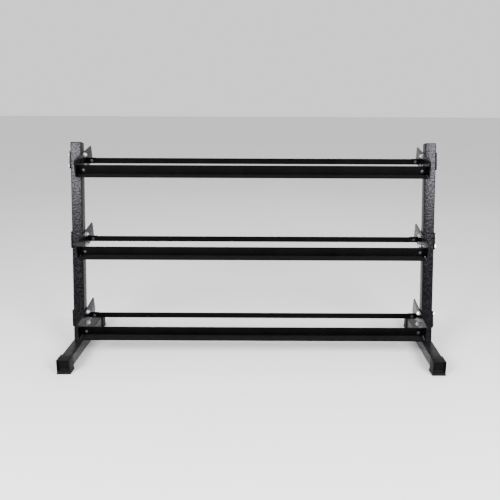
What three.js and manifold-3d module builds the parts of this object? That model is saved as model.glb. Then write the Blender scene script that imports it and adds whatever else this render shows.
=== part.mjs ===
// Three-tier dumbbell rack: two leaning square-tube uprights welded to foot tubes in rubber boots,
// and three shelves, each made of two steel angles bolted between flat end brackets.
// Millimetres, +Z up, front of the rack towards -Y, origin on the floor under the middle.

import * as THREE from 'three';
import { mergeVertices } from 'three/addons/utils/BufferGeometryUtils.js';
import Module from 'manifold-3d';

const wasm = await Module();
wasm.setup();
const { Manifold, Mesh: SolidMesh } = wasm;

// ---------------------------------------------------------------- driving dimensions

// Side frames
const FRAME_WIDTH = 1680; // outside of one upright to outside of the other
const UPRIGHT_HEIGHT = 961; // floor to the top front edge of an upright
const UPRIGHT_LEAN = THREE.MathUtils.degToRad(10.7); // lean to the rear
const TUBE_SIZE = 50; // square tube of uprights and feet
const TUBE_WALL = 2.5;
const TUBE_CORNER = 4.5; // outside corner radius of the tube
const FOOT_LENGTH = 600; // over the rubber boots
const UPRIGHT_SETBACK = 245; // front of the boot to the upright's front face at the foot
const BASE_WELD = 5; // leg of the fillet weld around the upright's base

// Rubber boots
const BOOT_LENGTH = 60;
const BOOT_WALL = 3.2;
const BOOT_SOLE = 14; // thickness under the foot tube
const BOOT_CORNER = 5; // rounding of the boot's upper corners
const SOLE_FLARE = 2; // how far the sole stands out past the boot's walls
const SOLE_LIP = 7; // height of that wider sole
const BOOT_BEVEL = 2.5; // rounding of the boot's end
const BOOT_RECESS = 14; // depth of the hollow in the boot's end
const BOOT_RIM = 5; // boot's outside to the side of that hollow

// Top plugs
const CAP_FLANGE = 3;
const CAP_DEPTH = 18;
const CAP_WALL = 2;
const CAP_BEVEL = 1;

// Shelves
const TIERS = ['bottom', 'middle', 'top'];
const BOTTOM_TIER_HEIGHT = 157; // floor to the middle of the bottom bracket's bolts
const TIER_PITCH = 361; // bottom bracket's bolts to the middle one's, in height
const TOP_TIER_DROP = 82; // top front edge of an upright to the top bracket's bolts, in height
const SHELF_TILT = THREE.MathUtils.degToRad(9); // fall of the shelf towards the front
const BRACKET_LENGTH = 280;
const BRACKET_HEIGHT = 78;
const BRACKET_PLATE = 5;
const BRACKET_CORNER = 10;
const BRACKET_BOLT_DROP = 36; // bracket's top edge to the middle of its bolts

// Rails: pressed steel angles. The upstands stand between the two heads of a dumbbell.
const RAIL_STEEL = 4;
const RAIL_BEND = 6; // outside radius of the bend
const FRONT_UPSTAND = 46;
const FRONT_LEDGE = 42;
const FRONT_INSET = 1; // bracket's front edge to the front ledge's free edge
const FRONT_RISE = 0.5; // bracket's lower edge to the underside of the front rail
const REAR_UPSTAND = 28;
const REAR_LEDGE = 50;
const RAIL_SPACING = 140; // front face of the front upstand to front face of the rear one
const REAR_RISE = 14;
const RAIL_END_GAP = 1.5; // between a rail's end and the bracket plate

// Lugs that carry the rails on the brackets
const LUG_LENGTH = 42;
const LUG_PLATE = 4;
const LUG_INSET = 3; // lug edge back from the free edge of the upstand
const RAIL_BOLT_END = 22; // rail's end to its bolt

// Fasteners
const FRAME_BOLT = { shank: 10, hole: 11, across: 17, head: 6.4, nut: 8.4, tail: 4, washer: 21, shim: 2 };
const RAIL_BOLT = { shank: 8, hole: 9, across: 13, head: 5.3, nut: 6.5, tail: 2.5 };
const FRAME_BOLT_PITCH = 50; // along the upright
const FIT = 0.3; // gap between pieces that seat on each other
const BACKING_LENGTH = 80;
const BACKING_WIDTH = 44;
const BACKING_PLATE = 6;
const BACKING_CHAMFER = 2.5;

const OVERRUN = 1; // how far a cutter or a joined piece runs past the face it crosses
const ROUND_STEPS = 12; // sides of a bolt shank
const CORNER_STEPS = 3; // segments in a rounded corner

// ---------------------------------------------------------------- materials

const powderCoat = { color: 0x1b1b1e, roughness: 0.42, metalness: 0.35 };
const railCoat = { color: 0x141415, roughness: 0.35, metalness: 0.35 };
const rubber = { color: 0x161617, roughness: 0.85, metalness: 0 };
const plastic = { color: 0x111112, roughness: 0.55, metalness: 0 };
const zinc = { color: 0xb9bcc0, roughness: 0.35, metalness: 0.9 };
const blackOxide = { color: 0x232326, roughness: 0.45, metalness: 0.6 };

// ---------------------------------------------------------------- places worked out from them

const tierHeights = {
  bottom: BOTTOM_TIER_HEIGHT,
  middle: BOTTOM_TIER_HEIGHT + TIER_PITCH,
  top: UPRIGHT_HEIGHT - TOP_TIER_DROP,
};
const halfTube = TUBE_SIZE / 2;
const bootEnd = BOOT_RECESS + BOOT_WALL; // boot's end to the bottom of its socket
const tubeBore = TUBE_SIZE - 2 * TUBE_WALL;
const boreCorner = Math.max(TUBE_CORNER - TUBE_WALL, 0.5);
const uprightX = FRAME_WIDTH / 2 - halfTube; // centre of an upright and of its foot
const innerFace = FRAME_WIDTH / 2 - TUBE_SIZE;
const footTop = BOOT_SOLE + TUBE_SIZE;
const leanDepth = TUBE_SIZE / Math.cos(UPRIGHT_LEAN); // upright's depth where the foot cuts it
const uprightY = -FOOT_LENGTH / 2 + UPRIGHT_SETBACK + leanDepth / 2;
const uprightLength = (UPRIGHT_HEIGHT - footTop) / Math.cos(UPRIGHT_LEAN)
  - halfTube * Math.tan(UPRIGHT_LEAN);
const plateOuter = innerFace - FIT; // bracket plate's face against the upright
const plateInner = plateOuter - BRACKET_PLATE;
const railHalf = plateInner - RAIL_END_GAP;
const bracketTop = BRACKET_BOLT_DROP;
const bracketBottom = bracketTop - BRACKET_HEIGHT;
const bracketFront = -BRACKET_LENGTH / 2;
const frontUpstandY = bracketFront + FRONT_INSET + FRONT_LEDGE; // front face of the front upstand
const rearUpstandY = frontUpstandY + RAIL_SPACING;
const frontUnder = bracketBottom + FRONT_RISE;
const rearUnder = bracketBottom + REAR_RISE;
const boltSlant = UPRIGHT_LEAN + SHELF_TILT; // from the shelf's normal to the upright's axis

// ---------------------------------------------------------------- solids

function toSolid(geometry) {
  const bare = geometry.index ? geometry.toNonIndexed() : geometry.clone();
  bare.deleteAttribute('normal');
  bare.deleteAttribute('uv');
  const merged = mergeVertices(bare, 1e-4);
  return new Manifold(new SolidMesh({
    numProp: 3,
    vertProperties: new Float32Array(merged.attributes.position.array),
    triVerts: new Uint32Array(merged.index.array),
  }));
}

function toGeometry(solid) {
  const mesh = solid.getMesh();
  const geometry = new THREE.BufferGeometry();
  geometry.setAttribute('position', new THREE.BufferAttribute(new Float32Array(mesh.vertProperties), 3));
  geometry.setIndex(new THREE.BufferAttribute(new Uint32Array(mesh.triVerts), 1));
  return geometry;
}

// An outline in a shelf's side view (y to the rear, z up), extruded along X from x0 to x1.
function alongX(shape, x0, x1) {
  const geometry = new THREE.ExtrudeGeometry(shape, {
    depth: Math.abs(x1 - x0),
    bevelEnabled: false,
    curveSegments: CORNER_STEPS,
  });
  const axes = new THREE.Matrix4().makeBasis(
    new THREE.Vector3(0, 1, 0),
    new THREE.Vector3(0, 0, 1),
    new THREE.Vector3(1, 0, 0),
  );
  geometry.applyMatrix4(axes);
  geometry.translate(Math.min(x0, x1), 0, 0);
  return geometry;
}

function roundedRectangle(width, height, radius) {
  const x = width / 2;
  const y = height / 2;
  const r = Math.min(radius, x, y);
  const shape = new THREE.Shape();
  shape.moveTo(-x + r, -y);
  shape.lineTo(x - r, -y);
  shape.absarc(x - r, -y + r, r, -Math.PI / 2, 0);
  shape.lineTo(x, y - r);
  shape.absarc(x - r, y - r, r, 0, Math.PI / 2);
  shape.lineTo(-x + r, y);
  shape.absarc(-x + r, y - r, r, Math.PI / 2, Math.PI);
  shape.lineTo(-x, -y + r);
  shape.absarc(-x + r, -y + r, r, Math.PI, Math.PI * 1.5);
  return shape;
}

function box(sizeX, sizeY, sizeZ, x, y, z) {
  return new THREE.BoxGeometry(sizeX, sizeY, sizeZ).translate(x, y, z);
}

// A round bar along X between x0 and x1.
function barAlongX(radius, x0, x1, y, z) {
  const geometry = new THREE.CylinderGeometry(radius, radius, Math.abs(x1 - x0), ROUND_STEPS);
  geometry.rotateZ(Math.PI / 2);
  return geometry.translate((x0 + x1) / 2, y, z);
}

// A hexagon along X between x0 and x1, measured across its flats.
function hexAlongX(across, x0, x1) {
  const radius = across / Math.sqrt(3);
  const geometry = new THREE.CylinderGeometry(radius, radius, Math.abs(x1 - x0), 6);
  geometry.rotateZ(Math.PI / 2);
  return geometry.translate((x0 + x1) / 2, 0, 0);
}

// A round bar along Y between y0 and y1.
function barAlongY(radius, y0, y1, x, z) {
  const geometry = new THREE.CylinderGeometry(radius, radius, Math.abs(y1 - y0), ROUND_STEPS);
  return geometry.translate(x, (y0 + y1) / 2, z);
}

function hexAlongY(across, y0, y1, x, z) {
  const radius = across / Math.sqrt(3);
  const geometry = new THREE.CylinderGeometry(radius, radius, Math.abs(y1 - y0), 6);
  return geometry.translate(x, (y0 + y1) / 2, z);
}

// Square tube along Z from z0 to z1, open at both ends.
function tubeAlongZ(z0, z1) {
  const shape = roundedRectangle(TUBE_SIZE, TUBE_SIZE, TUBE_CORNER);
  shape.holes.push(roundedRectangle(tubeBore, tubeBore, boreCorner));
  const geometry = new THREE.ExtrudeGeometry(shape, {
    depth: z1 - z0,
    bevelEnabled: false,
    curveSegments: CORNER_STEPS,
  });
  return geometry.translate(0, 0, z0);
}

// Angle section: an upstand whose front face is at y = 0 and a ledge at its foot.
// direction is -1 for a ledge that runs forwards and +1 for one that runs to the rear.
function angleSection(upstand, ledge, direction) {
  const inner = Math.max(RAIL_BEND - RAIL_STEEL, 0.5);
  const near = direction < 0 ? RAIL_STEEL : 0; // upstand's face away from the ledge
  const far = direction < 0 ? 0 : RAIL_STEEL; // upstand's face on the ledge's side
  const tip = direction < 0 ? -ledge : ledge;
  const shape = new THREE.Shape();
  shape.moveTo(far, upstand);
  shape.lineTo(near, upstand);
  shape.lineTo(near, RAIL_BEND);
  shape.quadraticCurveTo(near, 0, near + direction * RAIL_BEND, 0);
  shape.lineTo(tip, 0);
  shape.lineTo(tip, RAIL_STEEL);
  shape.lineTo(far + direction * inner, RAIL_STEEL);
  shape.quadraticCurveTo(far, RAIL_STEEL, far, RAIL_STEEL + inner);
  shape.lineTo(far, upstand);
  return shape;
}

// ---------------------------------------------------------------- side frames

// Distance up the upright's centre line from the foot's top to a tier's bolts.
function tierAlongUpright(tier) {
  return (tierHeights[tier] - footTop) / Math.cos(UPRIGHT_LEAN);
}

// The upright stands in a group that leans with it: z runs up its centre line from the foot's top.
function uprightGeometry() {
  let solid = toSolid(tubeAlongZ(-TUBE_SIZE, uprightLength));
  const skirt = new THREE.CylinderGeometry(
    (halfTube + FIT) * Math.SQRT2,
    (halfTube + FIT + BASE_WELD) * Math.SQRT2,
    BASE_WELD,
    4,
  );
  skirt.rotateX(Math.PI / 2);
  skirt.rotateZ(Math.PI / 4);
  skirt.scale(1, leanDepth / TUBE_SIZE, 1);
  skirt.translate(0, 0, BASE_WELD / 2);
  skirt.applyMatrix4(new THREE.Matrix4().makeShear(0, 0, 0, 0, 0, Math.tan(UPRIGHT_LEAN) / 2));
  skirt.rotateX(UPRIGHT_LEAN);
  const trimmed = toSolid(skirt).intersect(toSolid(box(TUBE_SIZE, TUBE_SIZE * 3, TUBE_SIZE * 3, 0, 0, 0)));
  solid = solid.add(trimmed);
  solid = solid.subtract(toSolid(box(tubeBore, tubeBore, TUBE_SIZE * 2, 0, 0, 0)));
  const floor = box(TUBE_SIZE * 4, TUBE_SIZE * 6, TUBE_SIZE * 3, 0, 0, -TUBE_SIZE * 1.5);
  floor.rotateX(UPRIGHT_LEAN);
  solid = solid.subtract(toSolid(floor));
  TIERS.forEach((tier) => {
    for (const step of [-0.5, 0.5]) {
      const z = tierAlongUpright(tier) + step * FRAME_BOLT_PITCH;
      solid = solid.subtract(toSolid(barAlongX(FRAME_BOLT.hole / 2, -TUBE_SIZE, TUBE_SIZE, 0, z)));
    }
  });
  return toGeometry(solid);
}

function footGeometry() {
  const half = FOOT_LENGTH / 2 - bootEnd - FIT;
  const geometry = tubeAlongZ(-half, half);
  return geometry.rotateX(Math.PI / 2);
}

// Boot for the front end of a foot: its end is at y = 0, hollowed in front of the panel that closes
// the socket, and its mouth faces the rear.
function bootGeometry() {
  const wall = BOOT_WALL + FIT;
  const width = TUBE_SIZE + 2 * wall;
  const height = BOOT_SOLE + TUBE_SIZE + wall;
  const section = roundedRectangle(width - 2 * BOOT_BEVEL, height - 2 * BOOT_BEVEL, BOOT_CORNER);
  const body = new THREE.ExtrudeGeometry(section, {
    depth: BOOT_LENGTH - 2 * BOOT_BEVEL,
    bevelEnabled: true,
    bevelThickness: BOOT_BEVEL,
    bevelSize: BOOT_BEVEL,
    bevelSegments: 2,
    curveSegments: CORNER_STEPS,
  });
  body.rotateX(Math.PI / 2);
  body.translate(0, BOOT_LENGTH - BOOT_BEVEL, height / 2);
  const lip = new THREE.ExtrudeGeometry(roundedRectangle(width + 2 * SOLE_FLARE, BOOT_LENGTH, BOOT_CORNER), {
    depth: SOLE_LIP,
    bevelEnabled: false,
    curveSegments: CORNER_STEPS,
  });
  lip.translate(0, BOOT_LENGTH / 2, 0);
  const socket = TUBE_SIZE + 2 * FIT;
  const cavity = new THREE.ExtrudeGeometry(roundedRectangle(socket, socket, TUBE_CORNER), {
    depth: BOOT_LENGTH,
    bevelEnabled: false,
    curveSegments: CORNER_STEPS,
  });
  cavity.rotateX(Math.PI / 2);
  cavity.translate(0, BOOT_LENGTH + bootEnd, BOOT_SOLE + TUBE_SIZE / 2);
  const recessHeight = height - BOOT_SOLE - BOOT_RIM;
  const recessOutline = roundedRectangle(width - 2 * BOOT_RIM, recessHeight, TUBE_CORNER);
  const recess = new THREE.ExtrudeGeometry(recessOutline, {
    depth: BOOT_RECESS + OVERRUN,
    bevelEnabled: false,
    curveSegments: CORNER_STEPS,
  });
  recess.rotateX(Math.PI / 2);
  recess.translate(0, BOOT_RECESS, BOOT_SOLE + recessHeight / 2);
  const shell = toSolid(body).add(toSolid(lip));
  return toGeometry(shell.subtract(toSolid(cavity)).subtract(toSolid(recess)));
}

// Plug for the top of an upright: a flange over the tube's end and a hollow skirt inside it.
function capGeometry() {
  const size = TUBE_SIZE - 2 * CAP_BEVEL;
  const flange = new THREE.ExtrudeGeometry(roundedRectangle(size, size, TUBE_CORNER), {
    depth: CAP_FLANGE - 2 * CAP_BEVEL,
    bevelEnabled: true,
    bevelThickness: CAP_BEVEL,
    bevelSize: CAP_BEVEL,
    bevelSegments: 1,
    curveSegments: CORNER_STEPS,
  });
  flange.translate(0, 0, FIT + CAP_BEVEL);
  const outside = tubeBore - 2 * FIT;
  const inside = outside - 2 * CAP_WALL;
  const skirt = new THREE.ExtrudeGeometry(roundedRectangle(outside, outside, boreCorner), {
    depth: CAP_DEPTH,
    bevelEnabled: false,
    curveSegments: CORNER_STEPS,
  });
  skirt.translate(0, 0, FIT + CAP_BEVEL - CAP_DEPTH);
  const hollow = box(inside, inside, CAP_DEPTH, 0, 0, -CAP_DEPTH / 2);
  return toGeometry(toSolid(flange).add(toSolid(skirt)).subtract(toSolid(hollow)));
}

// Plate behind the bracket's bolts on the outside of the upright, with its outer edges chamfered.
function backingGeometry(side) {
  const c = BACKING_CHAMFER;
  const half = BACKING_LENGTH / 2;
  const shape = new THREE.Shape();
  shape.moveTo(0, -half);
  shape.lineTo(BACKING_PLATE - c, -half);
  shape.lineTo(BACKING_PLATE, -half + c);
  shape.lineTo(BACKING_PLATE, half - c);
  shape.lineTo(BACKING_PLATE - c, half);
  shape.lineTo(0, half);
  shape.closePath();
  const geometry = new THREE.ExtrudeGeometry(shape, { depth: BACKING_WIDTH, bevelEnabled: false });
  geometry.translate(halfTube + FIT, 0, -BACKING_WIDTH / 2);
  geometry.rotateX(Math.PI / 2);
  if (side < 0) {
    geometry.rotateZ(Math.PI);
  }
  let solid = toSolid(geometry);
  for (const step of [-0.5, 0.5]) {
    const z = step * FRAME_BOLT_PITCH;
    solid = solid.subtract(toSolid(barAlongX(FRAME_BOLT.hole / 2, 0, side * TUBE_SIZE, 0, z)));
  }
  return toGeometry(solid);
}

// Bolt through backing plate, upright and bracket, with its washers and nut run up on it.
// x = 0 is the centre of the upright, and the head is on the outside of the rack.
function frameBoltGeometry(side) {
  const bolt = FRAME_BOLT;
  const headFace = halfTube + FIT + BACKING_PLATE + FIT;
  const nutFace = -(halfTube + FIT + BRACKET_PLATE + FIT);
  const headEnd = headFace + bolt.shim + bolt.head;
  const nutEnd = nutFace - bolt.shim - bolt.nut;
  const pieces = [
    barAlongX(bolt.shank / 2, side * (headEnd - OVERRUN), side * (nutEnd - bolt.tail), 0, 0),
    barAlongX(bolt.washer / 2, side * headFace, side * (headFace + bolt.shim), 0, 0),
    hexAlongX(bolt.across, side * (headFace + bolt.shim / 2), side * headEnd),
    barAlongX(bolt.washer / 2, side * nutFace, side * (nutFace - bolt.shim), 0, 0),
    hexAlongX(bolt.across, side * (nutFace - bolt.shim / 2), side * nutEnd),
  ];
  return toGeometry(pieces.map(toSolid).reduce((sum, piece) => sum.add(piece)));
}

// ---------------------------------------------------------------- shelves

// Everything on a shelf is in the tilted frame of its bracket bolts: y to the rear along the shelf
// and z square to it, with the middle of the bolts at y = z = 0.

const frontLug = {
  face: frontUpstandY + RAIL_STEEL + FIT,
  low: frontUnder + LUG_INSET,
  high: frontUnder + FRONT_UPSTAND - LUG_INSET,
  bolt: frontUnder + FRONT_UPSTAND / 2,
};
const rearLug = {
  face: rearUpstandY + RAIL_STEEL + FIT,
  low: rearUnder + RAIL_STEEL + FIT,
  high: rearUnder + REAR_UPSTAND,
  bolt: rearUnder + (RAIL_STEEL + REAR_UPSTAND) / 2,
};
const railBoltX = railHalf - RAIL_BOLT_END;

// Plate against the upright with two lugs, one behind each upstand, and a weld nut on each lug.
function bracketGeometry(side) {
  const outline = roundedRectangle(BRACKET_LENGTH, BRACKET_HEIGHT, BRACKET_CORNER);
  const plate = alongX(outline, side * plateInner, side * plateOuter);
  plate.translate(0, 0, (bracketTop + bracketBottom) / 2);
  let solid = toSolid(plate);
  const reach = LUG_LENGTH + BRACKET_PLATE / 2; // the lug is welded into the plate
  const middle = plateInner - LUG_LENGTH + reach / 2;
  for (const lug of [frontLug, rearLug]) {
    const tall = lug.high - lug.low;
    const bend = rearLug === lug ? RAIL_BEND - RAIL_STEEL : 0; // clears the inside of the rail's bend
    const y = lug.face + bend + LUG_PLATE / 2;
    const blade = box(reach, LUG_PLATE, tall, side * middle, y, (lug.high + lug.low) / 2);
    const nutFace = lug.face + bend + LUG_PLATE;
    const nutEnd = nutFace + RAIL_BOLT.nut;
    const nut = hexAlongY(RAIL_BOLT.across, nutFace - OVERRUN, nutEnd, side * railBoltX, lug.bolt);
    const hole = barAlongY(
      RAIL_BOLT.hole / 2,
      lug.face - OVERRUN,
      nutEnd + OVERRUN,
      side * railBoltX,
      lug.bolt,
    );
    solid = solid.add(toSolid(blade)).add(toSolid(nut)).subtract(toSolid(hole));
  }
  for (const step of [-0.5, 0.5]) {
    const along = step * FRAME_BOLT_PITCH;
    const y = along * Math.sin(boltSlant);
    const z = along * Math.cos(boltSlant);
    const x0 = side * (plateInner - OVERRUN);
    const x1 = side * (plateOuter + OVERRUN);
    const hole = barAlongX(FRAME_BOLT.hole / 2, x0, x1, y, z);
    solid = solid.subtract(toSolid(hole));
  }
  return toGeometry(solid);
}

function railGeometry(section, upstandY, under, lug) {
  const bar = alongX(section, -railHalf, railHalf);
  bar.translate(0, upstandY, under);
  let solid = toSolid(bar);
  for (const side of [-1, 1]) {
    const hole = barAlongY(
      RAIL_BOLT.hole / 2,
      upstandY - OVERRUN,
      upstandY + RAIL_STEEL + OVERRUN,
      side * railBoltX,
      lug.bolt,
    );
    solid = solid.subtract(toSolid(hole));
  }
  return toGeometry(solid);
}

// Bolt through a rail's upstand into the weld nut on its lug. y = 0 is the upstand's front face.
function railBoltGeometry(rear) {
  const bend = rear ? RAIL_BEND - RAIL_STEEL : 0;
  const grip = RAIL_STEEL + FIT + bend + LUG_PLATE + RAIL_BOLT.nut;
  const shank = barAlongY(RAIL_BOLT.shank / 2, -FIT - OVERRUN, grip + RAIL_BOLT.tail, 0, 0);
  const head = hexAlongY(RAIL_BOLT.across, -FIT - RAIL_BOLT.head, -FIT, 0, 0);
  return toGeometry(toSolid(head).add(toSolid(shank)));
}

// ---------------------------------------------------------------- assembly

function piece(name, geometry, look) {
  const mesh = new THREE.Mesh(geometry, new THREE.MeshStandardMaterial(look));
  mesh.name = name;
  return mesh;
}

function sideFrame(label, side) {
  const frame = new THREE.Group();
  frame.position.x = side * uprightX;

  const foot = piece(`${label}_foot_tube`, footGeometry(), powderCoat);
  foot.position.z = BOOT_SOLE + halfTube;
  frame.add(foot);

  const frontBoot = piece(`${label}_front_boot`, bootGeometry(), rubber);
  frontBoot.position.y = -FOOT_LENGTH / 2;
  const rearBoot = piece(`${label}_rear_boot`, bootGeometry(), rubber);
  rearBoot.position.y = FOOT_LENGTH / 2;
  rearBoot.rotation.z = Math.PI;
  frame.add(frontBoot, rearBoot);

  const lean = new THREE.Group();
  lean.position.set(0, uprightY, footTop);
  lean.rotation.x = -UPRIGHT_LEAN;
  frame.add(lean);
  lean.add(piece(`${label}_upright`, uprightGeometry(), powderCoat));
  const cap = piece(`${label}_top_cap`, capGeometry(), plastic);
  cap.position.z = uprightLength;
  lean.add(cap);

  TIERS.forEach((tier) => {
    const along = tierAlongUpright(tier);
    const backing = piece(`${label}_${tier}_backing_plate`, backingGeometry(side), powderCoat);
    backing.position.z = along;
    lean.add(backing);
    for (const [row, step] of [['lower', -0.5], ['upper', 0.5]]) {
      const bolt = piece(`${label}_${tier}_${row}_frame_bolt`, frameBoltGeometry(side), zinc);
      bolt.position.z = along + step * FRAME_BOLT_PITCH;
      lean.add(bolt);
    }
  });
  return frame;
}

function shelf(tier) {
  const height = tierHeights[tier];
  const group = new THREE.Group();
  group.position.set(0, uprightY + (height - footTop) * Math.tan(UPRIGHT_LEAN), height);
  group.rotation.x = SHELF_TILT;

  const frontSection = angleSection(FRONT_UPSTAND, FRONT_LEDGE, -1);
  const rearSection = angleSection(REAR_UPSTAND, REAR_LEDGE, 1);
  const frontRail = railGeometry(frontSection, frontUpstandY, frontUnder, frontLug);
  const rearRail = railGeometry(rearSection, rearUpstandY, rearUnder, rearLug);
  group.add(piece(`${tier}_front_rail`, frontRail, railCoat));
  group.add(piece(`${tier}_rear_rail`, rearRail, railCoat));

  for (const [label, side] of [['left', -1], ['right', 1]]) {
    group.add(piece(`${tier}_${label}_bracket`, bracketGeometry(side), powderCoat));
    const frontBolt = piece(`${tier}_${label}_front_rail_bolt`, railBoltGeometry(false), blackOxide);
    frontBolt.position.set(side * railBoltX, frontUpstandY, frontLug.bolt);
    const rearBolt = piece(`${tier}_${label}_rear_rail_bolt`, railBoltGeometry(true), blackOxide);
    rearBolt.position.set(side * railBoltX, rearUpstandY, rearLug.bolt);
    group.add(frontBolt, rearBolt);
  }
  return group;
}

const rack = new THREE.Group();
rack.name = 'dumbbell_rack';
rack.add(sideFrame('left', -1), sideFrame('right', 1));
TIERS.forEach((tier) => rack.add(shelf(tier)));

export default rack;
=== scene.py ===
"""Looks for the three-tier dumbbell rack: rounded steel tubes, plates, rails, fasteners and boots."""
import math

import bmesh
import bpy
from mathutils import Matrix, Vector


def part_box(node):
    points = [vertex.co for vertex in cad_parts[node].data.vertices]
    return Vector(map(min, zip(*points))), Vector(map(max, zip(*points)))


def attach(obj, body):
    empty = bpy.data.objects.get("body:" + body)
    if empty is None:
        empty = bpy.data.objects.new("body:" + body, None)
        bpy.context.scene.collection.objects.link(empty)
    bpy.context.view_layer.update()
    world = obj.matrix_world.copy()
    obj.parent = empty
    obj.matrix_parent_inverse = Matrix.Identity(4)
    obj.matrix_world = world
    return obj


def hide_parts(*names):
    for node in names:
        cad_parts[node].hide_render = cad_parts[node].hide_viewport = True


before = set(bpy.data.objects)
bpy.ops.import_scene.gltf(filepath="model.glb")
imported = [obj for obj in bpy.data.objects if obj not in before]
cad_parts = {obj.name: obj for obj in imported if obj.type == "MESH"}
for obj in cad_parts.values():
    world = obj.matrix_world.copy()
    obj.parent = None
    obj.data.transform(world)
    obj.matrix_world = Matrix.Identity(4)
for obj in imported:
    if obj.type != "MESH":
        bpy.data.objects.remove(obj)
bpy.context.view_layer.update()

# ---------------------------------------------------------------- sizes, in metres

TIERS = ("bottom", "middle", "top")
SIDES = (("left", -1), ("right", 1))
FIT = 0.0003  # gap left between parts that touch
EDGE_STEPS = 3
CORNER_STEPS = 6
ROUND_STEPS = 32

TUBE = 0.050
TUBE_WALL = 0.0025
TUBE_CORNER = 0.0045
FOOT_EDGE = 0.0004  # rounding of the feet's cut ends
UPRIGHT_EDGE = 0.0005
LEAN = math.radians(10.7)  # of the uprights, to the rear
TILT = math.radians(9)  # of the shelves, down to the front

PLATE_EDGE = 0.0007  # rounding of a cut plate's edges under the paint
BRACKET_LENGTH = 0.280
BRACKET_HEIGHT = 0.078
BRACKET_CORNER = 0.010
BRACKET_PLATE = 0.005
BRACKET_BOLT_DROP = 0.036  # from the plate's top edge down to the middle of its bolts
BACKING_LENGTH = 0.080
BACKING_WIDTH = 0.044
BACKING_PLATE = 0.006
BACKING_CORNER = 0.0015
BACKING_CHAMFER = 0.0025

RAIL_STEEL = 0.004
RAIL_BEND = 0.006
RAIL_EDGE = 0.0007
RAIL_SPACING = 0.140
RAIL_BOLT_END = 0.022
BEND_STEPS = 8
FRONT_UPSTAND = 0.046
FRONT_FACE = -0.097
REAR_UPSTAND = 0.028
LUG_LENGTH = 0.042
LUG_PLATE = 0.004
LUG_INSET = 0.003
LUG_CORNER = 0.0012
LUG_EDGE = 0.0005
NUT_SINK = 0.0005  # how far a weld nut sinks into its lug

# In the shelf's own frame: face is the y of the upstand's front face, and under the z of the
# ledge's underside. The ledge is measured from that face to the rear, or on the front rail from
# the upstand's rear face to the front. hole and lug_span are heights over under, and lug_gap is
# from the face to the lug behind it, which clears the bend of a ledge that runs to the rear.
RAILS = {
    "front": {"upstand": FRONT_UPSTAND, "ledge": 0.042 + RAIL_STEEL, "direction": -1,
              "face": FRONT_FACE, "under": -0.0415, "hole": FRONT_UPSTAND / 2,
              "lug_gap": RAIL_STEEL + FIT, "lug_span": (LUG_INSET, FRONT_UPSTAND - LUG_INSET)},
    "rear": {"upstand": REAR_UPSTAND, "ledge": 0.050, "direction": 1,
             "face": FRONT_FACE + RAIL_SPACING, "under": -0.028,
             "hole": (RAIL_STEEL + REAR_UPSTAND) / 2,
             "lug_gap": RAIL_BEND + FIT, "lug_span": (RAIL_STEEL + FIT, REAR_UPSTAND)},
}

FRAME_BOLT = {"shank": 0.010, "across": 0.017, "head": 0.0064, "nut": 0.0084, "tail": 0.004,
              "pitch": 0.0015}
RAIL_BOLT = {"shank": 0.008, "across": 0.013, "head": 0.0053, "nut": 0.0065, "tail": 0.0025,
             "pitch": 0.00125}
WASHER = 0.021
WASHER_EDGE = 0.0004
SHIM = 0.002  # a washer's thickness
HEX_SIDE_STEPS = 6
HEX_CHAMFER_REACH = 0.97  # radius of a chamfered end, as a part of half the width across flats
HEX_CHAMFER_SLOPE = 0.5
THREAD_DEPTH = 0.5  # in pitches
THREAD_TIP = 0.6  # in pitches
THREAD_OVERLAP = 0.001  # how far a thread starts inside the head or nut above it
FIRST_TURN, TURN_STEP = 17, 23  # degrees, so that neighbouring bolts aren't turned alike

CAP_FLANGE = 0.003
CAP_DEPTH = 0.018
CAP_WALL = 0.002
CAP_EDGE = 0.0012
CAP_STEPS = 4

BOOT_LENGTH = 0.060
BOOT_WALL = 0.0032
BOOT_SOLE = 0.014
BOOT_CORNER = 0.005
BOOT_EDGE = 0.0020
BOOT_EDGE_STEPS = 4
BOOT_RECESS = 0.014
BOOT_RIM = 0.005
BOOT_SOFT = 0.0010  # size of the small roundings inside the hollow and at the open end
BOOT_SIDE_POINTS = 8
SOLE_CORNER = 0.0012
SOLE_FLARE = 0.002
SOLE_LIP = 0.007
SOLE_BLEND = 0.003  # height over which the side runs out into the flared sole

WELD_LEG = 0.005
WELD_RIPPLE = 0.0026  # spacing of the ripples along a weld bead
WELD_STEPS = 4  # rings a ripple
WELD_ARC = 7
WELD_RIPPLE_SIZE = 0.10
WELD_REACH = 0.92  # size of a bead as a part of its leg
WELD_CROWN = 0.22
WELD_POWER = 1.3
WELD_ROOT = 0.15  # how far its root sinks into the corner, as a part of its leg
WELD_END, WELD_GROWTH = 0.35, 6  # size at its ends, and how fast it grows from there
LUG_WELD_LEG = 0.0035
LUG_WELD_INSET = 0.001

# ---------------------------------------------------------------- materials

# Linear colours. The blacks are very dark, because the studio's sky is bright.
COAT_LOW, COAT_HIGH = (0.0003, 0.0003, 0.0004), (0.0009, 0.0008, 0.0012)
COAT_FLAKE = (0.0045, 0.0041, 0.0056)
# Lighter colour for the coat's faces that look up: partly dust, partly a painted sheen of light on
# top.
COAT_DUST_AND_SHEEN = (0.030, 0.030, 0.031)
COAT_TINT = (0.93, 0.91, 1.0, 1)
SATIN_LOW, SATIN_HIGH = (0.0004, 0.0004, 0.0005), (0.0012, 0.0012, 0.0014)
# Lighter colour for the rails' faces that look up: rubbed wear, and a painted sheen of light on the
# ledges.
SATIN_RUB_AND_SHEEN = (0.009, 0.009, 0.0096)
RUBBER_LOW, RUBBER_HIGH = (0.0006, 0.0006, 0.0007), (0.0017, 0.0017, 0.0018)
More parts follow.
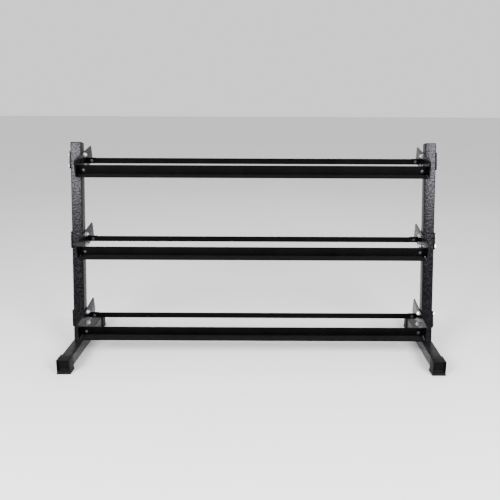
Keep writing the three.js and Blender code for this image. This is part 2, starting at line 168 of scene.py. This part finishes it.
# Lighter colour for the boots: dust towards the floor, and on faces that look up dust and a painted
# sheen of light.
RUBBER_DUST_AND_SHEEN = (0.0060, 0.0058, 0.0056)
DUST_TOP, DUST_FULL = 0.026, 0.004  # heights where the dust from the floor starts and is thickest
PLASTIC_LOW, PLASTIC_HIGH = (0.003, 0.003, 0.0033), (0.007, 0.007, 0.0073)
ZINC_LOW, ZINC_HIGH = (0.42, 0.43, 0.45), (0.72, 0.73, 0.74)
OXIDE_LOW, OXIDE_HIGH = (0.022, 0.022, 0.025), (0.055, 0.055, 0.06)
STAIN_ROUGHNESS = 0.18  # how much rougher a stained fastener is than a clean one
FLOOR_LOW, FLOOR_HIGH = (0.68, 0.68, 0.68), (0.70, 0.70, 0.70)

# Texture scales are repeats a metre, so 140 is about 7 mm apart and 1300 under 1 mm.
DIMPLES, SWELL, FLAKES, ORANGE_PEEL, DUST_AND_SHEEN_DRIFT = 140, 75, 1300, 620, 9
SATIN_DRIFT, SATIN_SCUFFS, SATIN_PEEL = 14, 170, 750
SCUFF_STRETCH = (0.25, 1, 1)  # scuffs run along the rail
RUBBER_GRIME, RUBBER_GRAIN = 60, 1100
PLASTIC_DRIFT, PLASTIC_GRAIN = 40, 1400
STEEL_STAINS, STEEL_GRAIN = 230, 2600
FLOOR_DRIFT = 1.5


def node(tree, kind, **values):
    """A new node. Each value goes to the input of that name, or else to the property."""
    made = tree.nodes.new(kind)
    for name, value in values.items():
        if name in made.inputs:
            made.inputs[name].default_value = value
        else:
            setattr(made, name, value)
    return made


def start(name, **values):
    """A new material, its tree and its object coordinates. Each value is set on the shader."""
    material = bpy.data.materials.new(name)
    material.use_nodes = True
    tree = material.node_tree
    for socket, value in values.items():
        tree.nodes["Principled BSDF"].inputs[socket].default_value = value
    return material, tree, tree.nodes.new("ShaderNodeTexCoord").outputs["Object"]


def connect(tree, colour, roughness=None, normal=None):
    for socket, source in (("Base Color", colour), ("Roughness", roughness), ("Normal", normal)):
        if source is not None:
            tree.links.new(source, tree.nodes["Principled BSDF"].inputs[socket])


def ramp(tree, source, low, high):
    """Turns source into a colour or a grey. low and high are pairs of a place and a value."""
    made = tree.nodes.new("ShaderNodeValToRGB")
    tree.links.new(source, made.inputs["Fac"])
    for element, (place, value) in zip(made.color_ramp.elements, (low, high)):
        element.position = place
        element.color = (*value, 1) if isinstance(value, tuple) else (value, value, value, 1)
    return made.outputs["Color"]


def noise(tree, place, scale, detail, roughness=0.5):
    made = node(tree, "ShaderNodeTexNoise", Scale=scale, Detail=detail, Roughness=roughness)
    tree.links.new(place, made.inputs["Vector"])
    return made.outputs["Fac"]


def cells(tree, place, scale):
    """Soft round cells, 0 in the middle of each."""
    made = node(tree, "ShaderNodeTexVoronoi", Scale=scale, feature="SMOOTH_F1", Smoothness=0.6)
    tree.links.new(place, made.inputs["Vector"])
    return made.outputs["Distance"]


def bump(tree, height, distance, strength, below=None):
    made = node(tree, "ShaderNodeBump", Distance=distance, Strength=strength)
    tree.links.new(height, made.inputs["Height"])
    if below is not None:
        tree.links.new(below, made.inputs["Normal"])
    return made.outputs["Normal"]


def mix(tree, factor, under, colour):
    """Lays colour over what is under it, where factor is 1."""
    made = node(tree, "ShaderNodeMix", data_type="RGBA")
    tree.links.new(factor, made.inputs["Factor"])
    first, second = (i for i in made.inputs if i.type == "RGBA")
    tree.links.new(under, first)
    second.default_value = (*colour, 1)
    return next(o for o in made.outputs if o.type == "RGBA")


def combine(tree, operation, a, b):
    made = node(tree, "ShaderNodeMath", operation=operation)
    tree.links.new(a, made.inputs[0])
    tree.links.new(b, made.inputs[1])
    return made.outputs[0]


def share(tree, vector, low, high):
    """0 where the vector's z is at low, rising to 1 where it is at high."""
    split = tree.nodes.new("ShaderNodeSeparateXYZ")
    tree.links.new(vector, split.inputs[0])
    made = tree.nodes.new("ShaderNodeMapRange")
    made.inputs["From Min"].default_value = low
    made.inputs["From Max"].default_value = high
    tree.links.new(split.outputs["Z"], made.inputs["Value"])
    return made.outputs["Result"]


def upward(tree, low, high):
    """1 on faces that look up, 0 on the rest."""
    return share(tree, tree.nodes.new("ShaderNodeNewGeometry").outputs["Normal"], low, high)


def hammered():
    """Black hammered powder coat: dimples and a broad swell that break up every reflection, fine
    orange peel, bluish flakes, and on faces that look up a lighter colour that is a little dust and a
    painted sheen of light."""
    material, tree, place = start(
        "hammered_powder_coat", **{"Specular IOR Level": 0.085, "Specular Tint": COAT_TINT})
    dimples = cells(tree, place, DIMPLES)
    base = ramp(tree, dimples, (0.15, COAT_LOW), (0.75, COAT_HIGH))
    speck = ramp(tree, noise(tree, place, FLAKES, 2), (0.56, 0.0), (0.70, 1.0))
    drift = ramp(tree, noise(tree, place, DUST_AND_SHEEN_DRIFT, 3), (0.35, 0.0), (0.8, 0.35))
    # Faces that look up get a lighter colour in patches: a little dust and a painted sheen of light
    # on top.
    dust_and_sheen = combine(tree, "MULTIPLY", upward(tree, 0.6, 1.0), drift)
    colour = mix(tree, dust_and_sheen, mix(tree, speck, base, COAT_FLAKE), COAT_DUST_AND_SHEEN)
    gloss = ramp(tree, dimples, (0.25, 0.07), (0.6, 0.34))
    peel = bump(tree, noise(tree, place, ORANGE_PEEL, 2), 0.0002, 0.25)
    broad = bump(tree, noise(tree, place, SWELL, 3, 0.6), 0.0011, 0.6, peel)
    connect(tree, colour, gloss, bump(tree, dimples, 0.0004, 0.8, broad))
    return material


def satin():
    """Smooth black powder coat of the rails, lighter on faces that look up: rubbed where the heads
    stand, and a painted sheen of light on the ledges.
    """
    material, tree, place = start("satin_powder_coat", **{"Specular IOR Level": 0.03})
    stretched = node(tree, "ShaderNodeMapping", Scale=SCUFF_STRETCH)
    tree.links.new(place, stretched.inputs["Vector"])
    scuff = noise(tree, stretched.outputs["Vector"], SATIN_SCUFFS, 6, 0.7)
    base = ramp(tree, noise(tree, place, SATIN_DRIFT, 4), (0.3, SATIN_LOW), (0.8, SATIN_HIGH))
    # Faces that look up get a lighter colour along the scuffs: rubbed wear and a painted sheen of
    # light.
    rubs_and_sheen = combine(tree, "MULTIPLY", upward(tree, 0.75, 1.0),
                   ramp(tree, scuff, (0.36, 0.32), (0.72, 1.0)))
    gloss = ramp(tree, scuff, (0.3, 0.30), (0.8, 0.46))
    connect(tree, mix(tree, rubs_and_sheen, base, SATIN_RUB_AND_SHEEN), gloss,
            bump(tree, noise(tree, place, SATIN_PEEL, 2), 0.0002, 0.22))
    return material


def rubber():
    """Matte moulded rubber, greyer with dust towards the floor, and greyer on top with dust and a
    painted sheen of light.
    """
    material, tree, place = start("boot_rubber_black", **{"Specular IOR Level": 0.05})
    grime = noise(tree, place, RUBBER_GRIME, 5, 0.65)
    base = ramp(tree, grime, (0.3, RUBBER_LOW), (0.8, RUBBER_HIGH))
    # Dust near the floor, and on faces that look up dust with a painted sheen of light on top.
    either = combine(tree, "MAXIMUM", share(tree, place, DUST_TOP, DUST_FULL),
                     upward(tree, 0.3, 1.0))
    dust_and_sheen = combine(tree, "MULTIPLY", either, ramp(tree, grime, (0.35, 0.35), (0.75, 0.9)))
    gloss = ramp(tree, grime, (0.3, 0.40), (0.8, 0.60))
    connect(tree, mix(tree, dust_and_sheen, base, RUBBER_DUST_AND_SHEEN), gloss,
            bump(tree, noise(tree, place, RUBBER_GRAIN, 3), 0.0003, 0.35))
    return material


def plastic():
    """Moulded plug plastic with a fine spark-eroded grain."""
    material, tree, place = start("cap_plastic_black", **{"Specular IOR Level": 0.10})
    drift = noise(tree, place, PLASTIC_DRIFT, 3)
    connect(tree, ramp(tree, drift, (0.3, PLASTIC_LOW), (0.8, PLASTIC_HIGH)),
            ramp(tree, drift, (0.3, 0.42), (0.8, 0.58)),
            bump(tree, cells(tree, place, PLASTIC_GRAIN), 0.0002, 0.3))
    return material


def plated(name, dark, light, rough, metal):
    """A plated or blackened fastener with a fine grain and stains."""
    material, tree, place = start(name, Metallic=metal)
    stain = noise(tree, place, STEEL_STAINS, 5, 0.6)
    connect(tree, ramp(tree, stain, (0.3, dark), (0.7, light)),
            ramp(tree, stain, (0.3, rough), (0.8, rough + STAIN_ROUGHNESS)),
            bump(tree, noise(tree, place, STEEL_GRAIN, 2), 0.00008, 0.3))
    return material


HAMMERED = hammered()
SATIN = satin()
RUBBER = rubber()
PLASTIC = plastic()
ZINC = plated("zinc_plate", ZINC_LOW, ZINC_HIGH, 0.22, 1.0)
BLACK_STEEL = plated("black_oxide", OXIDE_LOW, OXIDE_HIGH, 0.34, 0.75)

# ---------------------------------------------------------------- mesh helpers


def rounded(width, height, radius):
    """Points round a rectangle with rounded corners, anticlockwise."""
    r = min(radius, width / 2, height / 2)
    points = []
    for quarter, (sx, sy) in enumerate(((1, 1), (-1, 1), (-1, -1), (1, -1))):
        for step in range(CORNER_STEPS + 1):
            a = math.pi / 2 * (quarter + step / CORNER_STEPS)
            x = sx * (width / 2 - r) + r * math.cos(a)
            y = sy * (height / 2 - r) + r * math.sin(a)
            points.append((x, y))
    return points


def round_ring(radius, z):
    turns = [2 * math.pi * i / ROUND_STEPS for i in range(ROUND_STEPS)]
    return [Vector((radius * math.cos(a), radius * math.sin(a), z)) for a in turns]


def square_ring(size, corner, z):
    return [Vector((x, y, z)) for x, y in rounded(size, size, corner)]


def tube_ring(inset, z):
    """Ring of a square tube at that height, drawn in from its outside by inset."""
    return square_ring(TUBE - 2 * inset, TUBE_CORNER - inset, z)


def stack(bm, rings, loop=False):
    """Skins a list of rings of points. loop joins the last to the first, or else both ends are
    closed."""
    made = [[bm.verts.new(p) for p in ring] for ring in rings]
    pairs = list(zip(made, made[1:])) + ([(made[-1], made[0])] if loop else [])
    for low, high in pairs:
        for i in range(len(low)):
            j = (i + 1) % len(low)
            bm.faces.new((low[i], low[j], high[j], high[i]))
    if not loop:
        bm.faces.new(list(reversed(made[0])))
        bm.faces.new(made[-1])


def finish_piece(name, bm, matrix, material, replaced=None, sharp=35):
    """Makes the piece. replaced is the CAD node it stands for, and sharp the angle in degrees over
    which an edge isn't shaded smooth."""
    bmesh.ops.recalc_face_normals(bm, faces=bm.faces)
    mesh = bpy.data.meshes.new(name)
    bm.to_mesh(mesh)
    bm.free()
    mesh.transform(matrix)
    if matrix.determinant() < 0:
        mesh.flip_normals()
    for polygon in mesh.polygons:
        polygon.use_smooth = True
    mesh.set_sharp_from_angle(angle=math.radians(sharp))
    mesh.materials.append(material)
    piece = bpy.data.objects.new(name, mesh)
    bpy.context.scene.collection.objects.link(piece)
    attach(piece, "root")
    if replaced:
        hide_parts(replaced)
    return piece


def basis(x_axis, y_axis, z_axis, origin):
    """Matrix that takes a piece's own axes to these directions, and its origin to that point."""
    made = Matrix.Identity(4)
    for column, axis in enumerate((x_axis, y_axis, z_axis, origin)):
        for row in range(3):
            made[row][column] = axis[row]
    return made


def slab(bm, outline, thickness, edge, matrix=Matrix.Identity(4), steps=EDGE_STEPS,
         chamfer=(0, 0)):
    """A plate of a convex outline in XY from z = 0 to its thickness, with both rims rounded.
    chamfer cuts the far rim back further, by that much along x and y."""
    xs = [p[0] for p in outline]
    ys = [p[1] for p in outline]
    middle = Vector(((min(xs) + max(xs)) / 2, (min(ys) + max(ys)) / 2))
    reach = (max(xs) - middle.x, max(ys) - middle.y)

    def ring(inset_x, inset_y, z):
        sx, sy = 1 - inset_x / reach[0], 1 - inset_y / reach[1]
        return [matrix @ Vector((middle.x + (x - middle.x) * sx, middle.y + (y - middle.y) * sy, z))
                for x, y in outline]

    rings = []
    for step in range(steps + 1):
        a = math.pi / 2 * step / steps
        inset = edge * (1 - math.sin(a))
        rings.append(ring(inset, inset, edge * (1 - math.cos(a))))
    if any(chamfer):
        rings.append(ring(0, 0, thickness - max(chamfer) - edge))
    for step in range(steps + 1):
        a = math.pi / 2 * step / steps
        inset = edge * (1 - math.cos(a))
        rings.append(ring(chamfer[0] + inset, chamfer[1] + inset,
                          thickness - edge * (1 - math.sin(a))))
    stack(bm, rings)


def weld(bm, start, end, leg, up, out):
    """A rippled fillet bead from start to end. up and out point along the two faces it joins."""
    start, end, up, out = Vector(start), Vector(end), Vector(up), Vector(out)
    length = (end - start).length
    count = max(WELD_STEPS, round(length / WELD_RIPPLE * WELD_STEPS))
    rings = []
    for i in range(count + 1):
        t = i / count
        ripple = 1 + WELD_RIPPLE_SIZE * math.sin(2 * math.pi * t * length / WELD_RIPPLE)
        size = leg * WELD_REACH * min(1, WELD_END + WELD_GROWTH * min(t, 1 - t))
        at = start.lerp(end, t)
        ring = [at - (up + out) * leg * WELD_ROOT]
        for k in range(WELD_ARC + 1):
            a = math.pi / 2 * k / WELD_ARC
            swell = size * (1 - WELD_CROWN + WELD_CROWN * ripple * math.sin(2 * a))
            ring.append(at + out * swell * math.cos(a) ** WELD_POWER
                        + up * swell * math.sin(a) ** WELD_POWER)
        rings.append(ring)
    stack(bm, rings)


def hexagon(bm, across, z0, z1, chamfer_low=False, matrix=Matrix.Identity(4)):
    """A hexagonal head or nut along Z. A chamfer cuts its corners back to a circle at z1, and at
    z0 too if asked. A flat end keeps that circle as a ring in its plane, for clean triangles."""
    corner = across / math.sqrt(3)
    round_radius = across / 2 * HEX_CHAMFER_REACH
    drop = (corner - round_radius) * HEX_CHAMFER_SLOPE

    def ring(z, limit):
        points = []
        for side in range(6):
            a0, a1 = math.pi / 3 * side, math.pi / 3 * (side + 1)
            for step in range(HEX_SIDE_STEPS):
                t = step / HEX_SIDE_STEPS
                x = corner * ((1 - t) * math.cos(a0) + t * math.cos(a1))
                y = corner * ((1 - t) * math.sin(a0) + t * math.sin(a1))
                k = min(1, limit / math.hypot(x, y))
                points.append(matrix @ Vector((x * k, y * k, z)))
        return points

    stack(bm, [ring(z0, round_radius), ring(z0 + drop if chamfer_low else z0, corner),
               ring(z1 - drop, corner), ring(z1, round_radius)])


def washer(bm, z):
    """A washer that lies from z upwards, without its hole, which the shank fills."""
    radius, edge, top = WASHER / 2, WASHER_EDGE, z + SHIM
    stack(bm, [round_ring(radius - edge, z), round_ring(radius, z + edge),
               round_ring(radius, top - edge), round_ring(radius - edge, top)])


def thread(bm, bolt, start, end):
    """A threaded end that runs down from start to a narrower tip at end, ridged at its pitch."""
    crest, pitch = bolt["shank"] / 2, bolt["pitch"]
    root = crest - pitch * THREAD_DEPTH
    ridged = start - end - pitch * THREAD_TIP
    count = max(2, round((start - end - pitch) / pitch * 2))
    rings = [round_ring(root if i % 2 else crest, start - ridged * i / count)
             for i in range(count + 1)]
    stack(bm, rings + [round_ring(root, end)])


# ---------------------------------------------------------------- places from the frame


def centre(name):
    low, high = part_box(name)
    return (low + high) / 2


def reach_of(name):
    """Distances of a node's inner and outer side from the middle of the rack."""
    low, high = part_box(name)
    return sorted((abs(low.x), abs(high.x)))


def tier_origin(label, tier):
    """Middle of a bracket's two bolts."""
    lower, upper = (centre(f"{label}_{tier}_{row}_frame_bolt") for row in ("lower", "upper"))
    return (lower + upper) / 2


def upright_frame(label):
    """Matrix of an upright: own z up its centre line, from the middle of its bottom tier's bolts."""
    origin = tier_origin(label, "bottom")
    origin.x = centre(f"{label}_upright").x
    return Matrix.Translation(origin) @ Matrix.Rotation(-LEAN, 4, "X")


def upright_top(label):
    """Height of the upright's top in its own frame. Its front edge is the highest."""
    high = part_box(f"{label}_upright")[1].z
    rise = high - tier_origin(label, "bottom").z
    return (rise - TUBE / 2 * math.sin(LEAN)) / math.cos(LEAN)


def shelf_frame(tier):
    """Matrix of a shelf: y to the rear along it and z square to it, from the middle of its bolts."""
    origin = tier_origin("left", tier)
    origin.x = 0
    return Matrix.Translation(origin) @ Matrix.Rotation(TILT, 4, "X")


# ---------------------------------------------------------------- feet, uprights and caps


def foot_tube(label):
    name = f"{label}_foot_tube"
    low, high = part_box(name)
    half = (high.y - low.y) / 2
    bm = bmesh.new()
    stack(bm, [tube_ring(0, -half + FOOT_EDGE), tube_ring(0, half - FOOT_EDGE),
               tube_ring(FOOT_EDGE, half), tube_ring(TUBE_WALL, half),
               tube_ring(TUBE_WALL, -half), tube_ring(FOOT_EDGE, -half)], loop=True)
    place = Matrix.Translation(centre(name)) @ Matrix.Rotation(math.radians(90), 4, "X")
    finish_piece(f"{name}_painted", bm, place, HAMMERED, name)


def upright(label):
    name = f"{label}_upright"
    origin = tier_origin(label, "bottom")
    foot_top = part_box(f"{label}_foot_tube")[1].z
    top = upright_top(label)

    def foot_ring(inset):
        """Ring cut along the foot's top, which isn't square to the upright."""
        ring = tube_ring(inset, 0)
        for point in ring:
            point.z = (foot_top - origin.z + point.y * math.sin(LEAN)) / math.cos(LEAN)
        return ring

    bm = bmesh.new()
    stack(bm, [foot_ring(0), tube_ring(0, top - UPRIGHT_EDGE), tube_ring(UPRIGHT_EDGE, top),
               tube_ring(TUBE_WALL, top), foot_ring(TUBE_WALL)], loop=True)
    finish_piece(f"{name}_tube", bm, upright_frame(label), HAMMERED, name)

    beads = bmesh.new()
    x = centre(f"{label}_foot_tube").x
    middle_y = origin.y + (foot_top - origin.z) / math.cos(LEAN) * math.sin(LEAN)
    half_depth = TUBE / 2 / math.cos(LEAN)
    half_width = TUBE / 2 - TUBE_CORNER
    for facing in (-1, 1):
        y = middle_y + facing * half_depth
        weld(beads, (x - half_width, y, foot_top), (x + half_width, y, foot_top), WELD_LEG,
             (0, math.sin(LEAN), math.cos(LEAN)), (0, facing, 0))
    finish_piece(f"{label}_base_weld", beads, Matrix.Identity(4), HAMMERED)


def cap(label):
    """Plug in the upright's top: a flange over its end, and a skirt inside it."""
    name = f"{label}_top_cap"
    outside = TUBE - 2 * TUBE_WALL - 2 * FIT
    inside = outside - 2 * CAP_WALL
    low = FIT - CAP_DEPTH
    bm = bmesh.new()
    slab(bm, rounded(TUBE, TUBE, TUBE_CORNER), CAP_FLANGE, CAP_EDGE,
         Matrix.Translation((0, 0, FIT)), CAP_STEPS)
    stack(bm, [square_ring(size, TUBE_CORNER - TUBE_WALL, z)
               for size, z in ((outside, FIT), (outside, low), (inside, low), (inside, FIT))],
          loop=True)
    place = upright_frame(label) @ Matrix.Translation((0, 0, upright_top(label)))
    finish_piece(f"{name}_plug", bm, place, PLASTIC, name)


# ---------------------------------------------------------------- boots


def boot_outline(width, low, high, top_radius, low_radius):
    """Outline round a boot or its hollows in the plane square to the foot, with points down its
    sides for the flared sole. Every outline has as many points as the next."""
    half = width / 2
    corners = ((half - top_radius, high - top_radius, top_radius, 0),
               (-half + top_radius, high - top_radius, top_radius, 1),
               (-half + low_radius, low + low_radius, low_radius, 2),
               (half - low_radius, low + low_radius, low_radius, 3))
    side_ends = {1: (-half, low + low_radius), 3: (half, high - top_radius)}
    points = []
    for x, z, r, quarter in corners:
        for step in range(CORNER_STEPS + 1):
            a = math.pi / 2 * (quarter + step / CORNER_STEPS)
            points.append((x + r * math.cos(a), z + r * math.sin(a)))
        if quarter in side_ends:
            last_x, last_z = points[-1]
            end_x, end_z = side_ends[quarter]
            for k in range(1, BOOT_SIDE_POINTS):
                t = k / BOOT_SIDE_POINTS
                points.append((last_x + (end_x - last_x) * t, last_z + (end_z - last_z) * t))
    return points


def boot(label, end, facing):
    """Rubber boot over a foot's end: a hollow end, a panel behind it, the socket for the tube, and
    a sole that stands out a little."""
    name = f"{label}_{end}_boot"
    low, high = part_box(name)
    width = TUBE + 2 * (BOOT_WALL + FIT)
    height = high.z

    def outer(inset, y):
        ring = []
        for x, z in boot_outline(width - 2 * inset, inset, height - inset, BOOT_CORNER,
                                 SOLE_CORNER):
            t = min(1, max(0, (SOLE_LIP + SOLE_BLEND / 2 - z) / SOLE_BLEND))
            flare = SOLE_FLARE * t * t * (3 - 2 * t)
            ring.append(Vector((x + math.copysign(flare, x), y, z)))
        return ring

    def hollow(size, bottom, top, y):
        return [Vector((x, y, z))
                for x, z in boot_outline(size, bottom, top, TUBE_CORNER, TUBE_CORNER)]

    def recess(spread, y):
        """Ring of the hollow end, spread out all round."""
        return hollow(width - 2 * BOOT_RIM + 2 * spread, BOOT_SOLE - spread,
                      height - BOOT_RIM + spread, y)

    def socket(y):
        return hollow(TUBE + 2 * FIT, BOOT_SOLE, BOOT_SOLE + TUBE, y)

    soft = BOOT_SOFT
    rings = [recess(-2 * soft, BOOT_RECESS), recess(-0.3 * soft, BOOT_RECESS - soft),
             recess(0, BOOT_RECESS - 2 * soft), recess(0, 1.2 * soft),
             recess(0.5 * soft, 0.3 * soft), recess(soft, 0)]
    for step in range(BOOT_EDGE_STEPS + 1):
        a = math.pi / 2 * step / BOOT_EDGE_STEPS
        rings.append(outer(BOOT_EDGE * (1 - math.sin(a)), BOOT_EDGE * (1 - math.cos(a))))
    rings += [outer(0, BOOT_LENGTH / 2), outer(0, BOOT_LENGTH - soft),
              outer(0.7 * soft, BOOT_LENGTH), socket(BOOT_LENGTH), socket(BOOT_RECESS + BOOT_WALL)]
    bm = bmesh.new()
    stack(bm, rings)
    end_y = low.y if facing < 0 else high.y
    x = centre(f"{label}_foot_tube").x
    place = basis((-facing, 0, 0), (0, -facing, 0), (0, 0, 1), (x, end_y, 0))
    finish_piece(f"{name}_moulding", bm, place, RUBBER, name, sharp=50)


# ---------------------------------------------------------------- plates and their bolts


def backing(label, side, tier):
    """Plate between an upright's outside and the bolt heads, bevelled at both ends."""
    name = f"{label}_{tier}_backing_plate"
    along = (tier_origin(label, tier) - tier_origin(label, "bottom")).length
    bm = bmesh.new()
    slab(bm, rounded(BACKING_WIDTH, BACKING_LENGTH, BACKING_CORNER), BACKING_PLATE, PLATE_EDGE,
         chamfer=(0, BACKING_CHAMFER))
    face = basis((0, side, 0), (0, 0, 1), (side, 0, 0), (side * (TUBE / 2 + FIT), 0, along))
    finish_piece(f"{name}_plate", bm, upright_frame(label) @ face, HAMMERED, name)


def rail_hole(tier, which):
    """Where a rail's right-hand bolt crosses the upstand's front face, in the shelf's frame."""
    size = RAILS[which]
    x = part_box(f"{tier}_front_rail")[1].x - RAIL_BOLT_END
    return x, size["face"], size["under"] + size["hole"]


def bracket(tier, label, side):
    """Plate inside the upright, with two welded lugs for the rails and a weld nut on each. It is
    built for the right-hand side and mirrored for the left."""
    name = f"{tier}_{label}_bracket"
    inner = reach_of(name)[1] - BRACKET_PLATE
    free = inner - LUG_LENGTH
    root = inner + BRACKET_PLATE / 2
    middle_z = BRACKET_BOLT_DROP - BRACKET_HEIGHT / 2
    bm = bmesh.new()
    slab(bm, rounded(BRACKET_LENGTH, BRACKET_HEIGHT, BRACKET_CORNER), BRACKET_PLATE, PLATE_EDGE,
         basis((0, 1, 0), (0, 0, 1), (1, 0, 0), (inner, 0, middle_z)))
    for which, size in RAILS.items():
        bolt_x, face, bolt_z = rail_hole(tier, which)
        near = face + size["lug_gap"]
        far = near + LUG_PLATE
        low, high = (size["under"] + z for z in size["lug_span"])
        to_rear = ((1, 0, 0), (0, 0, -1), (0, 1, 0))  # own z points to the rear
        slab(bm, rounded(root - free, high - low, LUG_CORNER), LUG_PLATE, LUG_EDGE,
             basis(*to_rear, ((free + root) / 2, near, (low + high) / 2)))
        hexagon(bm, RAIL_BOLT["across"], far - NUT_SINK, far + RAIL_BOLT["nut"],
                matrix=basis(*to_rear, (bolt_x, 0, bolt_z)))
        weld(bm, (inner, far, low + LUG_WELD_INSET), (inner, far, high - LUG_WELD_INSET),
             LUG_WELD_LEG, (-1, 0, 0), (0, 1, 0))
    mirror = Matrix.Scale(side, 4, (1, 0, 0))
    finish_piece(f"{name}_plate", bm, shelf_frame(tier) @ mirror, HAMMERED, name)


def frame_bolt(label, side, tier, row):
    """Bolt through backing plate, upright and bracket, with its two washers and nut. Its own z
    points to the outside of the rack."""
    name = f"{label}_{tier}_{row}_frame_bolt"
    inner, outer = reach_of(name)
    b = FRAME_BOLT
    head = outer - b["head"]
    nut_end = inner + b["tail"]
    nut_start = nut_end + b["nut"]
    bm = bmesh.new()
    hexagon(bm, b["across"], head, outer)
    washer(bm, head - SHIM)
    washer(bm, nut_start)
    hexagon(bm, b["across"], nut_end, nut_start, chamfer_low=True)
    stack(bm, [round_ring(b["shank"] / 2, z) for z in (nut_start + SHIM, head - SHIM)])
    thread(bm, b, nut_end + THREAD_OVERLAP, inner)
    turn = FIRST_TURN + TURN_STEP * (TIERS.index(tier) + (row == "upper"))
    middle = centre(name)
    place = (Matrix.Translation((0, middle.y, middle.z))
             @ Matrix.Rotation(math.radians(90) * side, 4, "Y")
             @ Matrix.Rotation(math.radians(turn), 4, "Z"))
    finish_piece(f"{name}_set", bm, place, ZINC, name)


def rail_bolt(label, side, tier, which):
    """Bolt through a rail's upstand into the weld nut. Its own z points to the shelf's front."""
    name = f"{tier}_{label}_{which}_rail_bolt"
    b = RAIL_BOLT
    x, y, z = rail_hole(tier, which)
    bm = bmesh.new()
    hexagon(bm, b["across"], FIT, FIT + b["head"])
    thread(bm, b, FIT + THREAD_OVERLAP,
           -(RAILS[which]["lug_gap"] + LUG_PLATE + b["nut"] + b["tail"]))
    place = shelf_frame(tier) @ basis((1, 0, 0), (0, 0, 1), (0, -1, 0), (side * x, y, z))
    finish_piece(f"{name}_screw", bm, place, BLACK_STEEL, name)


# ---------------------------------------------------------------- rails


def arc(cx, cy, radius, start, end):
    """Points along an arc, from one angle to the other in degrees."""
    angles = [math.radians(start + (end - start) * i / BEND_STEPS) for i in range(BEND_STEPS + 1)]
    return [(cx + radius * math.cos(a), cy + radius * math.sin(a)) for a in angles]


def angle_profile(upstand, ledge, direction):
    """Section of a rail: the upstand's front face is at y = 0, and its ledge runs to the rear for
    direction 1 and to the front for -1."""
    t, bend = RAIL_STEEL, RAIL_BEND
    points = [(0, upstand), *arc(bend, bend, bend, 180, 270), (ledge, 0), (ledge, t),
              *arc(bend, bend, bend - t, 270, 180), (t, upstand)]
    return points if direction > 0 else [(t - y, z) for y, z in points]


def rail(tier, which):
    name = f"{tier}_{which}_rail"
    low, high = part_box(name)
    size = RAILS[which]
    profile = angle_profile(size["upstand"], size["ledge"], size["direction"])
    bm = bmesh.new()
    stack(bm, [[Vector((x, size["face"] + y, size["under"] + z)) for y, z in profile]
               for x in (low.x, high.x)])
    piece = finish_piece(f"{name}_angle", bm, shelf_frame(tier), SATIN, name, sharp=30)
    bevel = piece.modifiers.new("rolled edges", "BEVEL")
    bevel.width = RAIL_EDGE
    bevel.segments = EDGE_STEPS
    bevel.limit_method = "ANGLE"
    bevel.angle_limit = math.radians(50)
    bevel.harden_normals = True


for label, side in SIDES:
    foot_tube(label)
    upright(label)
    cap(label)
    boot(label, "front", -1)
    boot(label, "rear", 1)
    for tier in TIERS:
        backing(label, side, tier)
        bracket(tier, label, side)
        for row in ("lower", "upper"):
            frame_bolt(label, side, tier, row)
        for which in RAILS:
            rail_bolt(label, side, tier, which)
for tier in TIERS:
    for which in RAILS:
        rail(tier, which)

# ---------------------------------------------------------------- stage, light and camera

FLOOR_REACH = 30
SKY_STRENGTH = 1.15
LAMPS = (  # name, place, target, size, watts
    ("left_box", (-2.0, -3.2, 2.15), (-0.4, 0, 0.7), (1.6, 1.5), 420),
    ("right_box", (2.0, -3.2, 2.15), (0.4, 0, 0.7), (1.6, 1.5), 420),
    ("rear_box", (0.5, 3.4, 3.0), (0, 0, 0.6), (2.4, 2.4), 30),
)
CAMERA_PLACE = (0.080, -2.738, 1.182)
CAMERA_PITCH = 0.263  # radians down from level
CAMERA_ROLL = 0.004
CAMERA_LENS = 44.16
CAMERA_SHIFT = (-0.0404, 0.0169)

floor_mesh = bpy.data.meshes.new("floor")
floor_mesh.from_pydata([(x * FLOOR_REACH, y * FLOOR_REACH, 0)
                        for x, y in ((-1, -1), (1, -1), (1, 1), (-1, 1))], [], [(0, 1, 2, 3)])
floor = bpy.data.objects.new("floor", floor_mesh)
bpy.context.scene.collection.objects.link(floor)
pale, pale_tree, pale_place = start("pale_floor", Roughness=0.6)
connect(pale_tree, ramp(pale_tree, noise(pale_tree, pale_place, FLOOR_DRIFT, 2),
                        (0.3, FLOOR_LOW), (0.7, FLOOR_HIGH)))
floor_mesh.materials.append(pale)

world = bpy.data.worlds.new("studio")
world.use_nodes = True
sky = world.node_tree.nodes["Background"]
sky.inputs["Color"].default_value = (1, 1, 1, 1)
sky.inputs["Strength"].default_value = SKY_STRENGTH
bpy.context.scene.world = world

for name, place, target, size, power in LAMPS:
    data = bpy.data.lights.new(name, "AREA")
    data.shape = "RECTANGLE"
    data.size, data.size_y = size
    data.energy = power
    lamp = bpy.data.objects.new(name, data)
    lamp.location = place
    lamp.rotation_euler = (Vector(target) - Vector(place)).to_track_quat("-Z", "Y").to_euler()
    lamp.visible_camera = False
    bpy.context.scene.collection.objects.link(lamp)

camera_data = bpy.data.cameras.new("camera")
camera_data.sensor_width = 36
camera_data.lens = CAMERA_LENS
camera_data.shift_x, camera_data.shift_y = CAMERA_SHIFT
camera_data.clip_end = 100
camera = bpy.data.objects.new("camera", camera_data)
camera.matrix_world = (Matrix.Translation(CAMERA_PLACE)
                       @ Matrix.Rotation(math.pi / 2 - CAMERA_PITCH, 4, "X")
                       @ Matrix.Rotation(CAMERA_ROLL, 4, "Z"))
bpy.context.scene.collection.objects.link(camera)
bpy.context.scene.camera = camera
